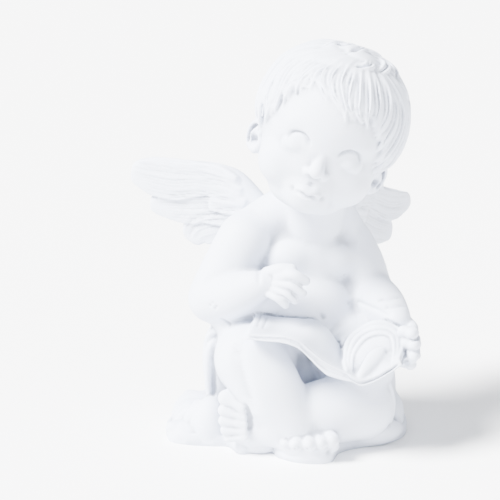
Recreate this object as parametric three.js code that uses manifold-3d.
// A seated cherub reading an open book, cast in one piece with its draped base.
// Millimetres, +Z up. The figure faces -Y, its right hand is on the -X side, and the
// origin is on the flat underside, below the middle of the base.
//
// Nearly every form is a sphere: scaled into a ball of flesh, or stretched along a curve
// into a finger, a fold, a lock of hair or a feather. Limbs are capsules that taper, and
// the book is a box bent over the lap. All are joined into one solid, cut flat below.

import * as THREE from "three";
import { mergeVertices } from "three/addons/utils/BufferGeometryUtils.js";
import Module from "manifold-3d";

const wasm = await Module();
wasm.setup();

// ---------------------------------------------------------------- driving dimensions

const BODY_LEAN = 7; // degrees: the chest leans to the figure's left
const BODY_YAW = 18; // and is turned to the same side
const PELVIS = [1, 4, 27];

const SKULL = [13.7, -2, 118.3];
const SKULL_RADII = [25.2, 28, 26];
const HEAD_ROLL = 20; // the crown tips to the figure's left
const HEAD_YAW = -2;

// The face of a young child, by shares of the way down from the crown to the chin.
const CROWN_Z = 27;
const CHIN_Z = -32.4;
const [BROW, EYES, NOSE, MOUTH] = [0.5, 0.612, 0.75, 0.85].map((share) =>
  THREE.MathUtils.lerp(CROWN_Z, CHIN_Z, share),
);
const EYE_WIDTH = 9.2; // and the eyes are one eye's width apart

const WING_SWEEP = 36; // how far each wing points back from the line of the shoulders
const WING_ROOTS = { right: [-13.5, 14, 82.8], left: [17.5, 23, 79] };
const WING_DROOP = { right: 0, left: 17 };

const SLAB_HEIGHT = 4.2;
const PAGES = [1.2, 2.6]; // thickness of the pages at the outer edge and at the spine
const COVER = [1.6, 2.6]; // and of the cover below them
const COVER_LIP = 0.7; // how far the cover stands out past the pages

// Segments round and along a form, by how much of it shows.
const LARGE = [12, 6];
const MEDIUM = [9, 5];
const SMALL = [7, 4];
const TINY = [5, 4];

// ---------------------------------------------------------------- helpers

const radians = THREE.MathUtils.degToRad;
const lerp = THREE.MathUtils.lerp;
const vector = (p) => new THREE.Vector3(...p);
const range = (n) => Array.from({ length: n }, (_, i) => i);

// A frame carries points of the body, the head or a wing into the part.
function frame(centre, roll, yaw) {
  const turn = new THREE.Euler(0, radians(roll), radians(yaw), "YZX");
  return new THREE.Matrix4().makeRotationFromEuler(turn).setPosition(...centre);
}

const PART = new THREE.Matrix4();
const BODY = frame(PELVIS, BODY_LEAN, BODY_YAW);
const HEAD = frame(SKULL, HEAD_ROLL, HEAD_YAW);

// A closed geometry, carried by a frame, as a solid that can be joined and cut. One that
// was mirrored on its way is inside out, so its triangles are turned back.
function solid(geometry, inFrame = PART) {
  geometry.deleteAttribute("normal");
  geometry.deleteAttribute("uv");
  const merged = mergeVertices(geometry.applyMatrix4(inFrame), 1e-4);
  const triVerts = new Uint32Array(merged.index.array);
  const vertProperties = new Float32Array(merged.attributes.position.array);
  const made = new wasm.Manifold(new wasm.Mesh({ numProp: 3, vertProperties, triVerts }));
  if (made.volume() > 0) return made;
  triVerts.reverse();
  return new wasm.Manifold(new wasm.Mesh({ numProp: 3, vertProperties, triVerts }));
}

// An ellipsoid, turned by Euler angles in degrees.
function ball(centre, radii, detail = MEDIUM, inFrame = PART, turn = [0, 0, 0]) {
  const geometry = new THREE.SphereGeometry(1, ...detail).rotateX(Math.PI / 2);
  const euler = new THREE.Euler(...turn.map(radians));
  geometry.scale(...radii).applyQuaternion(new THREE.Quaternion().setFromEuler(euler));
  return solid(geometry.translate(...centre), inFrame);
}

// A sphere stretched along a smooth curve. girth(t) gives the half width and the half
// thickness at t from 0 to 1, and its thickness faces up. blunt fills out the ends.
function strand(points, girth, up, detail = SMALL, inFrame = PART, blunt = 0.4) {
  const curve = new THREE.CatmullRomCurve3(points.map(vector), false, "centripetal");
  const upward = vector(up).normalize();
  const geometry = new THREE.SphereGeometry(1, ...detail);
  const position = geometry.attributes.position;
  for (const i of range(position.count)) {
    const [x, y, z] = [position.getX(i), position.getY(i), position.getZ(i)];
    const t = (1 - y) / 2;
    const fill = Math.max(1 - y * y, 1e-9) ** (-blunt / 2);
    const tangent = curve.getTangent(t);
    const side = upward.clone().cross(tangent).normalize();
    const normal = tangent.clone().cross(side);
    const [width, thickness] = girth(t);
    const p = curve.getPoint(t);
    p.addScaledVector(side, x * fill * width).addScaledVector(normal, z * fill * thickness);
    position.setXYZ(i, p.x, p.y, p.z);
  }
  return solid(geometry, inFrame);
}

// A closed sheet of columns and rows. place(column, row, depth) gives each of its points,
// with depth 0 on the face and 1 on the back.
function sheet(columns, rows, place, inFrame = PART) {
  const geometry = new THREE.BoxGeometry(1, 1, 1, columns, rows, 1);
  const position = geometry.attributes.position;
  for (const i of range(position.count)) {
    const column = Math.round((position.getX(i) + 0.5) * columns);
    const row = Math.round((0.5 - position.getY(i)) * rows);
    position.setXYZ(i, ...place(column, row, 0.5 - position.getZ(i)));
  }
  return solid(geometry, inFrame);
}

// A girth that holds its width, then narrows to a share of it at the tip.
const tapered = (width, thickness, tip = 0.5) => (t) => {
  const share = lerp(1, tip, t * t);
  return [width * share, thickness * share];
};

// A round limb through points, with a radius at each of them and round ends. Past a
// joint it starts a little slimmer, so that only one of the two balls shows there.
function limb(points, radii, detail = [8, 4], inFrame = PART) {
  const [round, along] = detail;
  const cap = Math.ceil(along / 2);
  const steps = range(cap + 1).map((k) => k / cap);
  const upright = new THREE.Vector3(0, 1, 0);
  return range(points.length - 1).map((i) => {
    const start = vector(points[i]);
    const reach = vector(points[i + 1]).sub(start);
    const length = reach.length();
    const first = radii[i] * (i ? 0.9 : 1);
    const slope = Math.asin((first - radii[i + 1]) / length);
    const arc = (radius, height, from, to) =>
      steps.map((share) => {
        const angle = lerp(from, to, share);
        const across = Math.abs(radius * Math.cos(angle));
        return new THREE.Vector2(across, height + radius * Math.sin(angle));
      });
    const profile = [
      ...arc(first, 0, -Math.PI / 2, slope),
      ...arc(radii[i + 1], length, slope, Math.PI / 2),
    ];
    const turn = new THREE.Quaternion().setFromUnitVectors(upright, reach.normalize());
    const geometry = new THREE.LatheGeometry(profile, round).applyQuaternion(turn);
    return solid(geometry.translate(...start), inFrame);
  });
}

const join = (solids) => wasm.Manifold.union(solids.flat(Infinity));

// ---------------------------------------------------------------- body

function torso() {
  return [
    ball([0, 3, 0], [21, 17, 17], MEDIUM, BODY), // pelvis
    ball([0, -4, 19], [19.5, 17, 17.5], LARGE, BODY), // belly
    ball([0, 1, 37], [20.5, 14.5, 15.5], LARGE, BODY), // chest
    ball([0, 2.5, 46], [20, 10.5, 9], SMALL, BODY), // collar
    ball([-1, 6, 26], [18.5, 14, 26], LARGE, BODY), // back
    [1, -1].map((side) => [
      ball([side * 10, 11, 42], [7.5, 6, 9], SMALL, BODY), // shoulder blade
      ball([side * 9, 13, -4], [11, 10, 12], SMALL, BODY), // seat
    ]),
    limb([[6.5, 6, 80], [10, 1, 97]], [12.4, 11.2]), // neck
  ];
}

function arms() {
  return [
    limb([[-17.5, -2, 74], [-29.8, -8, 51.5], [-11, -20, 62]], [9.8, 9, 5.2]),
    limb([[21.5, 10, 69], [28.5, 4, 53], [37.5, -18, 48]], [9.3, 8.2, 5.6]),
    ball([-14, -12, 59], [9, 8, 5]), // the forearm is one with the belly
  ];
}

// The right hand lies on the belly with its fingers together, pointing at the page.
const RIGHT_FINGERS = [
  [[-4.5, -24, 64.5], [0, -25.5, 65.5], [3.2, -25, 62.5], 2.2],
  [[-5, -24.5, 62.5], [-1.2, -26.5, 62.5], [1.8, -26, 59], 2],
  [[-6.5, -24, 61], [-3.4, -26.5, 60.8], [-0.8, -26, 57.8], 2],
  [[-8.5, -23.5, 60], [-6, -26, 59.8], [-3.4, -25.6, 57.6], 1.8],
];

// The left hand holds the book from outside, its fingers in a stack.
const LEFT_FINGERS = [
  [[41, -14, 45], [45.2, -19, 44.2], [42.6, -26, 43.4], 2.2],
  [[41, -14, 41], [45.8, -19.5, 40.2], [43, -27, 39.4], 2.2],
  [[41, -14, 37], [45.6, -20, 36], [42.6, -27, 35.4], 2.1],
  [[40, -14, 33.5], [44.2, -20, 32.2], [41.4, -26, 31.8], 1.9],
];

function hands() {
  const finger = ([root, knuckle, tip, radius]) =>
    strand([root, knuckle, tip], tapered(radius, radius, 0.85), [0, 0, 1], TINY);
  return [
    ball([-6, -21.5, 62.2], [7.5, 4, 4.6]),
    ball([39.5, -15.5, 41], [4.2, 6.5, 7.5]),
    RIGHT_FINGERS.map(finger),
    LEFT_FINGERS.map(finger),
  ];
}

function legs() {
  return [
    limb([[-11, 8, 24], [-15, -23, 34.5], [0, -30, 13]], [16, 12.8, 8.6]), // right
    limb([[15, 9, 31], [29, -13, 32]], [16.5, 14]), // left thigh
    limb([[28, -18, 16], [-6, -27, 11]], [12.8, 8.6]), // left shin, along the base
    ball([1, -28, 8.5], [10, 9, 8]), // right heel
  ];
}

// Each toe: where its nail lies, and its radius, from the big toe on.
const RIGHT_TOES = [
  [14.4, -36.5, 8, 3.6],
  [9.8, -38.6, 7.6, 2.7],
  [6, -39, 7.6, 2.6],
  [2.2, -38.4, 7.6, 2.5],
  [-1.6, -36.6, 7.6, 2.3],
];
const LEFT_TOES = [
  [-22.4, -26.5, 19.2, 3.4],
  [-23.4, -27.4, 14.8, 2.6],
  [-23.6, -27.6, 11, 2.5],
  [-22.8, -27.4, 7.4, 2.4],
  [-20.8, -27, 3.8, 2.2],
];

function feet() {
  const toe = (heel) => ([x, y, z, radius]) => {
    const root = new THREE.Vector3(...heel).lerp(new THREE.Vector3(x, y, z), 0.45);
    const tip = new THREE.Vector3(x, y, z);
    const girth = () => [radius, radius];
    return strand([root.toArray(), tip.toArray()], girth, [0.1, 0.1, 1], TINY);
  };
  return [
    ball([5, -29.5, 7.6], [10, 7.4, 6], MEDIUM, PART, [0, 0, 12]),
    ball([-14, -25.5, 11], [9.5, 6.5, 9.8]),
    RIGHT_TOES.map(toe([4, -26, 9])),
    LEFT_TOES.map(toe([-8, -25, 11])),
  ];
}

// ---------------------------------------------------------------- head

function head() {
  const cheek = (side) =>
    ball([side * 10.8, -13.2, NOSE + 0.4], [10.2, 10.2, 10], MEDIUM, HEAD);
  return [
    ball([0, 0, 0], SKULL_RADII, LARGE, HEAD),
    ball([0, -8, -12], [21.5, 18, 18.5], [12, 7], HEAD),
    ball([0, -7.4, 7], [19.5, 20.2, 16], MEDIUM, HEAD), // forehead
    ball([0, -18.2, CHIN_Z + 6.4], [8.6, 7.4, 6.4], MEDIUM, HEAD), // chin
    ball([0, -10, CHIN_Z + 5], [14, 11, 6], SMALL, HEAD), // under the chin
    cheek(1),
    cheek(-1),
  ];
}

function face() {
  const eye = (side) => {
    const middle = [side * EYE_WIDTH, -20.6, EYES];
    const lid = range(3).map((i) => {
      const out = (i - 1) * 0.5 * EYE_WIDTH;
      return [middle[0] + out, middle[1] - 4.6 + 0.06 * out ** 2, EYES + 0.6 - 0.06 * out ** 2];
    });
    const brow = ball([side * 9, -19.6, BROW + 1], [8.4, 6.4, 4.4], SMALL, HEAD);
    const ofTheEye = ball(middle, [0.5 * EYE_WIDTH + 0.8, 4.6, 4], SMALL, HEAD);
    return [brow, ofTheEye, strand(lid, () => [0.8, 0.9], [0, -1, 0], TINY, HEAD)];
  };
  const nostril = (side) => ball([side * 3, -25.6, NOSE + 1.5], [2.1, 2.6, 1.9], TINY, HEAD);
  const lip = (height, depth, width) =>
    strand(
      [[-width, -23.6, MOUTH - 0.6], [0, -depth, height], [width, -23.6, MOUTH - 0.6]],
      () => [1.5, 2.2],
      [0, -1, 0],
      SMALL,
      HEAD,
    );
  return [
    eye(1),
    eye(-1),
    limb([[0, -23.4, EYES + 3], [0, -27.4, NOSE + 2.6]], [2.2, 3.1], SMALL, HEAD),
    nostril(1),
    nostril(-1),
    ball([0, -19.6, MOUTH + 1], [8.6, 6.6, 6.6], SMALL, HEAD), // the mouth's cushion
    lip(MOUTH + 0.6, 25.4, 5.3),
    lip(MOUTH - 1.6, 24.9, 4.6),
  ];
}

function ears() {
  return [1, -1].map((side) => [
    ball([side * 22.6, 2, -17], [3.6, 4, 6], TINY, HEAD, [10, 0, side * -30]),
    strand(
      [
        [side * 23.6, -1.4, -14.6],
        [side * 25.4, 1.4, -12],
        [side * 26.6, 4.6, -15.4],
        [side * 24.4, 2.6, -21],
      ],
      () => [1.1, 1.3],
      [side, 0, 0],
      TINY,
      HEAD,
    ),
  ]);
}

// ---------------------------------------------------------------- hair

// The direction of a point on the head, by its angles from the face and above the ears.
const towards = ([azimuth, elevation]) => {
  const [a, e] = [radians(azimuth), radians(elevation)];
  return new THREE.Vector3(
    Math.sin(a) * Math.cos(e),
    -Math.cos(a) * Math.cos(e),
    Math.sin(e),
  );
};

// Each lock runs from the crown to its tip, and they stand in order round the head, from
// the right ear over the brow and the left ear to the nape. The fringe sweeps to the left.
const CROWN = [12, 72];
const TEMPLE_LOCKS = [
  [[-81, 42], [-80, 20], [-74, -6], [-78, -26]],
  [[-62, 46], [-66, 26], [-61, 4], [-64, -18]],
  [[-48, 48], [-55, 32], [-54, 12], [-54, -5]],
  [[-40, 49], [-48, 36], [-48, 20], [-46, 5]],
  [[-31, 50], [-39, 40], [-42, 28], [-39, 15]],
  [[-23, 52], [-31, 42], [-34, 32], [-30, 22]],
];
const FRINGE_LOCKS = [
  [[-21, 52], [-27, 40], [-22, 28], [-6, 19]],
  [[-14, 52], [-17, 39], [-10, 26], [3, 16]],
  [[-7, 52], [-7, 38], [0, 24], [8, 11]],
  [[2, 50], [2, 36], [6, 24], [14, 14]],
  [[9, 50], [11, 34], [15, 22], [22, 14]],
  [[19, 48], [21, 32], [24, 20], [28, 12]],
  [[29, 48], [31, 32], [33, 16]],
];
const SIDE_LOCKS = [
  [[42, 46], [43, 30], [40, 16], [36, 8]],
  [[50, 40], [52, 24], [47, 6], [43, -4]],
  [[60, 36], [61, 16], [56, -4], [50, -18]],
  [[70, 34], [71, 10], [66, -10], [56, -26]],
];
const BACK_LOCKS = range(10).map((i) => {
  const azimuth = lerp(86, 264, i / 9);
  const sway = i % 2 ? 5 : -4;
  return [[azimuth + sway, 44], [azimuth - sway, 12], [azimuth + sway, -32]];
});
const LOCK_DEPTH = 2; // a lock over the groove beside it

// The cap of hair is a sphere with one pole at the crown and the other inside the skull.
// Its meridians are in turn the ridge of a lock and the groove before the next one.
function hair() {
  const locks = [...TEMPLE_LOCKS, ...FRINGE_LOCKS, ...SIDE_LOCKS, ...BACK_LOCKS];
  const paths = locks.map(
    (angles) => new THREE.CatmullRomCurve3([CROWN, ...angles].map(towards)),
  );
  const rows = 5;
  const geometry = new THREE.SphereGeometry(1, 2 * locks.length, rows + 2);
  const position = geometry.attributes.position;
  for (const i of range(position.count)) {
    const [x, y, z] = [position.getX(i), position.getY(i), position.getZ(i)];
    const row = Math.round((Math.acos(THREE.MathUtils.clamp(y, -1, 1)) / Math.PI) * (rows + 2));
    const around = (Math.atan2(z, -x) / (2 * Math.PI) + 1) % 1;
    const meridian = Math.round(around * 2 * locks.length) % (2 * locks.length);
    const lock = paths[Math.floor(meridian / 2)];
    const next = paths[Math.floor((meridian + 1) / 2) % locks.length];
    const ridge = meridian % 2 === 0;
    const along = Math.min(row / rows, 1) * (ridge ? 1 : 0.88);
    const p = lock.getPoint(along).lerp(next.getPoint(along), 0.5).normalize();
    const lift = (ridge ? LOCK_DEPTH : 0) * Math.min(1, row / 2) + 0.7 - 1.6 * along ** 6;
    const shell = row > rows ? -6 * (row - rows) : lift;
    const [rx, ry, rz] = SKULL_RADII.map((radius) => radius + shell);
    if (row > rows + 1) p.set(0, 0, 0);
    position.setXYZ(i, p.x * rx, p.y * ry, p.z * rz);
  }
  const knot = (angles, radii) => {
    const at = towards(angles).multiply(vector(SKULL_RADII)).multiplyScalar(1.06);
    return ball(at.toArray(), radii, TINY, HEAD);
  };
  return [
    solid(geometry, HEAD),
    knot([-78, 58], [2.4, 2.6, 2.4]),
    knot([-20, 80], [4.4, 3.6, 2]),
    knot([75, 36], [3, 4, 4]),
  ];
}

// ---------------------------------------------------------------- wings

// Feathers of the left wing as it is laid flat: outward and up from the root, to the tip.
const PRIMARIES = [
  [[11, 12.4], [30, 15.6], [47.4, 14]],
  [[9, 10.4], [29, 11.2], [46.6, 9.4]],
  [[7, 8.2], [28, 7.6], [44.4, 6]],
  [[5, 6], [26, 4.6], [41, 3]],
  [[3, 4], [24, 2], [37.4, 0.4]],
];
const SECONDARIES = [
  [[1, 2], [22, -1.2], [39.8, -3.2]],
  [[-1, 0], [20, -4], [37.6, -6.8]],
  [[-2, -2], [18, -6.6], [34.2, -10]],
  [[-3, -4], [15, -8.8], [29.8, -12.4]],
];
const TERTIALS = [
  [[-4, -6], [12, -11], [25.6, -15.2]],
  [[-5, -8], [10, -13.4], [22.2, -18.8]],
  [[-6, -10], [8, -16], [18.6, -22]],
];
const COVERTS = [
  [[7, 9.4], [16, 12], [25, 11.6]],
  [[4, 5.4], [12, 6.6], [21.6, 6]],
  [[2, 1], [10, 0.6], [19.6, -0.4]],
  [[0, -4], [7, -5.6], [15.4, -7.4]],
];

// A tier is a sheet whose columns are in turn a feather's quill and the groove beside it.
// The quills stand out and their tips reach further.
function tier(feathers, rows, front, place) {
  const paths = feathers.map((points) => {
    const spots = points.map(([outward, up]) => new THREE.Vector3(outward, 0, up));
    return new THREE.CatmullRomCurve3(spots);
  });
  const last = feathers.length - 1;
  return sheet(
    2 * feathers.length,
    rows,
    (column, row, depth) => {
      const among = column / 2 - 0.5;
      const from = THREE.MathUtils.clamp(Math.floor(among), 0, last - 1);
      const quill = column % 2 === 1;
      const outer = column === 0 || column === 2 * feathers.length;
      const along = (row / rows) * (quill ? 1 : 0.955);
      const near = paths[from].getPoint(along);
      const p = near.lerp(paths[from + 1].getPoint(along), among - from);
      const relief = quill ? 1.1 : outer ? -0.5 : 0;
      const face = (front + relief) * (1 - 0.45 * along);
      return [p.x, depth ? 0.9 + 0.3 * relief : -face, p.z];
    },
    place,
  );
}

function wing(side) {
  const [mirror, swing] = side === "left" ? [1, WING_SWEEP] : [-1, -WING_SWEEP];
  const place = frame(WING_ROOTS[side], 0, BODY_YAW + swing)
    .scale(new THREE.Vector3(mirror, 1, 1))
    .multiply(new THREE.Matrix4().makeRotationY(radians(WING_DROOP[side])));
  return [
    limb([[-8, 0, -12], [10, 0, 12.4], [26, 0, 15]], [5, 3, 1.6], TINY, place),
    tier([...PRIMARIES, ...SECONDARIES, ...TERTIALS], 3, 1, place),
    tier(COVERTS, 2, 3.4, place),
  ];
}

// ---------------------------------------------------------------- book

// The top of the pages along the edge by the belly and the edge by the knees, from the
// figure's right. The gutter is the seventh of them.
const FAR_EDGE = [
  [-13.2, -15, 50.9],
  [-6.7, -15.6, 48.6],
  [2.7, -16.4, 48.2],
  [9.1, -17, 47.6],
  [13.5, -17.6, 44.8],
  [16.4, -18, 40.4],
  [18, -18.2, 36.8],
  [20.3, -18.4, 41.6],
  [24.2, -18.6, 45.6],
  [29.6, -19, 47.6],
  [35, -19.6, 47.6],
  [38.6, -20.4, 45],
  [40.8, -21.8, 40.2],
];
const NEAR_EDGE = [
  [-16.4, -37, 47.9],
  [-10.8, -38, 47.8],
  [-3.5, -39, 47.6],
  [1.8, -39.6, 46],
  [6.3, -40, 42.2],
  [11.3, -40.4, 38.4],
  [17.3, -40.6, 35.4],
  [20.4, -41, 33.6],
  [23.6, -41, 32],
  [27.2, -40, 32.6],
  [31.1, -39, 34.2],
  [34.7, -37, 35.8],
  [37.8, -35, 37.6],
];
const SPINE = 6;

// A leaf of the open book, by how far its face lies below the top of the pages and how
// thick it is, each at the outer edge and at the spine.
function leaf([topOuter, topSpine], [outer, spine], lip) {
  const columns = FAR_EDGE.length - 1;
  return sheet(columns, 2, (column, row, depth) => {
    const inward = Math.min(1, 1.6 * (1 - Math.abs(column - SPINE) / SPINE));
    const top = lerp(topOuter, topSpine, inward);
    const thickness = lerp(outer, spine, inward);
    const p = vector(FAR_EDGE[column]).lerp(vector(NEAR_EDGE[column]), row / 2);
    p.x += (column === 0 ? -lip : 0) + (column === columns ? lip : 0);
    p.y += lip * (1 - row);
    p.z -= (row === 1 ? 1.2 : 0) + top + depth * thickness;
    return p.toArray();
  });
}

// The cover is a lip round the pages, which run on down through it.
function book() {
  const sunk = PAGES.map((thickness) => thickness * 0.9);
  const through = PAGES.map((thickness, i) => thickness + COVER[i] + 0.9);
  return [leaf([0, 0], through, 0), leaf(sunk, COVER, COVER_LIP)];
}

// ---------------------------------------------------------------- drapery and base

const SLAB_OUTLINE = [
  [-46, -9],
  [-40, -17],
  [-29, -19.4],
  [-23.4, -20],
  [-18.3, -28.4],
  [-9, -21.6],
  [-5.3, -31.5],
  [3, -37.6],
  [13, -37],
  [17, -26.6],
  [25.5, -20.4],
  [38, -13.4],
  [43, -2],
  [41, 14],
  [31, 28],
  [8, 35],
  [-18, 32],
  [-36, 20],
  [-45, 3],
];

function slab() {
  const outline = SLAB_OUTLINE.map(([x, y]) => new THREE.Vector3(x, y, 0));
  const curve = new THREE.CatmullRomCurve3(outline, true, "centripetal");
  const points = curve.getPoints(38).slice(1);
  const shape = new THREE.Shape(points.map((p) => new THREE.Vector2(p.x, p.y)));
  const options = { depth: SLAB_HEIGHT, steps: 1, bevelEnabled: false };
  return solid(new THREE.ExtrudeGeometry(shape, options));
}

function fold(points, width, thickness, detail = SMALL) {
  return strand(points, () => [width, thickness], [0.05, 0.1, 1], detail);
}

function drapery() {
  return [
    ball([0, 12, 3], [37, 23, 13], [14, 5]), // the mound it sits on
    ball([-36.4, -5, 4.4], [8, 10, 10.6]),
    ball([-36, 4, 3], [9, 16, 9.5]),
    ball([-43.6, -9, 4], [3.2, 4.4, 4.2], SMALL),
    strand(
      [[-31, -6, 12], [-30.4, -8, 28], [-29.6, -6, 40], [-25, 2, 46]],
      () => [2.6, 3.4],
      [-1, 0, 0.1],
    ),
    fold([[-28, -2, 41], [-20, 20, 40], [4, 24, 34], [26, 20, 30], [37, 4, 18]], 5, 4.2),
    fold([[-32, 2, 28], [-22, 23, 29], [4, 29, 25], [26, 25, 21], [38, 8, 14]], 5, 4.4),
    fold([[-34, 6, 14], [-22, 27, 18], [4, 33, 14], [26, 28, 12], [38, 10, 8]], 5, 4.4),
    fold([[38, -11, 2], [39.5, -9, 12], [37.5, -4, 24]], 2, 3),
    ball([36, 2, 8], [6.4, 9, 10]),
  ];
}

// ---------------------------------------------------------------- one casting

const below = solid(new THREE.BoxGeometry(200, 200, 60).translate(0, 0, -30));
const figure = [torso(), arms(), hands(), legs(), feet(), head(), face(), ears(), hair()];
const rest = [wing("right"), wing("left"), book(), slab(), drapery()];
const statueSolid = join([figure, rest]).subtract(below);

function mesh(name, made, colour) {
  const { numProp, vertProperties, triVerts } = made.getMesh();
  const geometry = new THREE.BufferGeometry();
  geometry.setAttribute("position", new THREE.BufferAttribute(vertProperties, numProp));
  geometry.setIndex(new THREE.BufferAttribute(triVerts, 1));
  geometry.computeVertexNormals();
  const material = new THREE.MeshStandardMaterial({ color: colour, roughness: 0.6 });
  const node = new THREE.Mesh(geometry, material);
  node.name = name;
  return node;
}

const statue = new THREE.Group();
statue.add(mesh("cherub_statue", statueSolid, 0xf1f3f8));
export default statue;
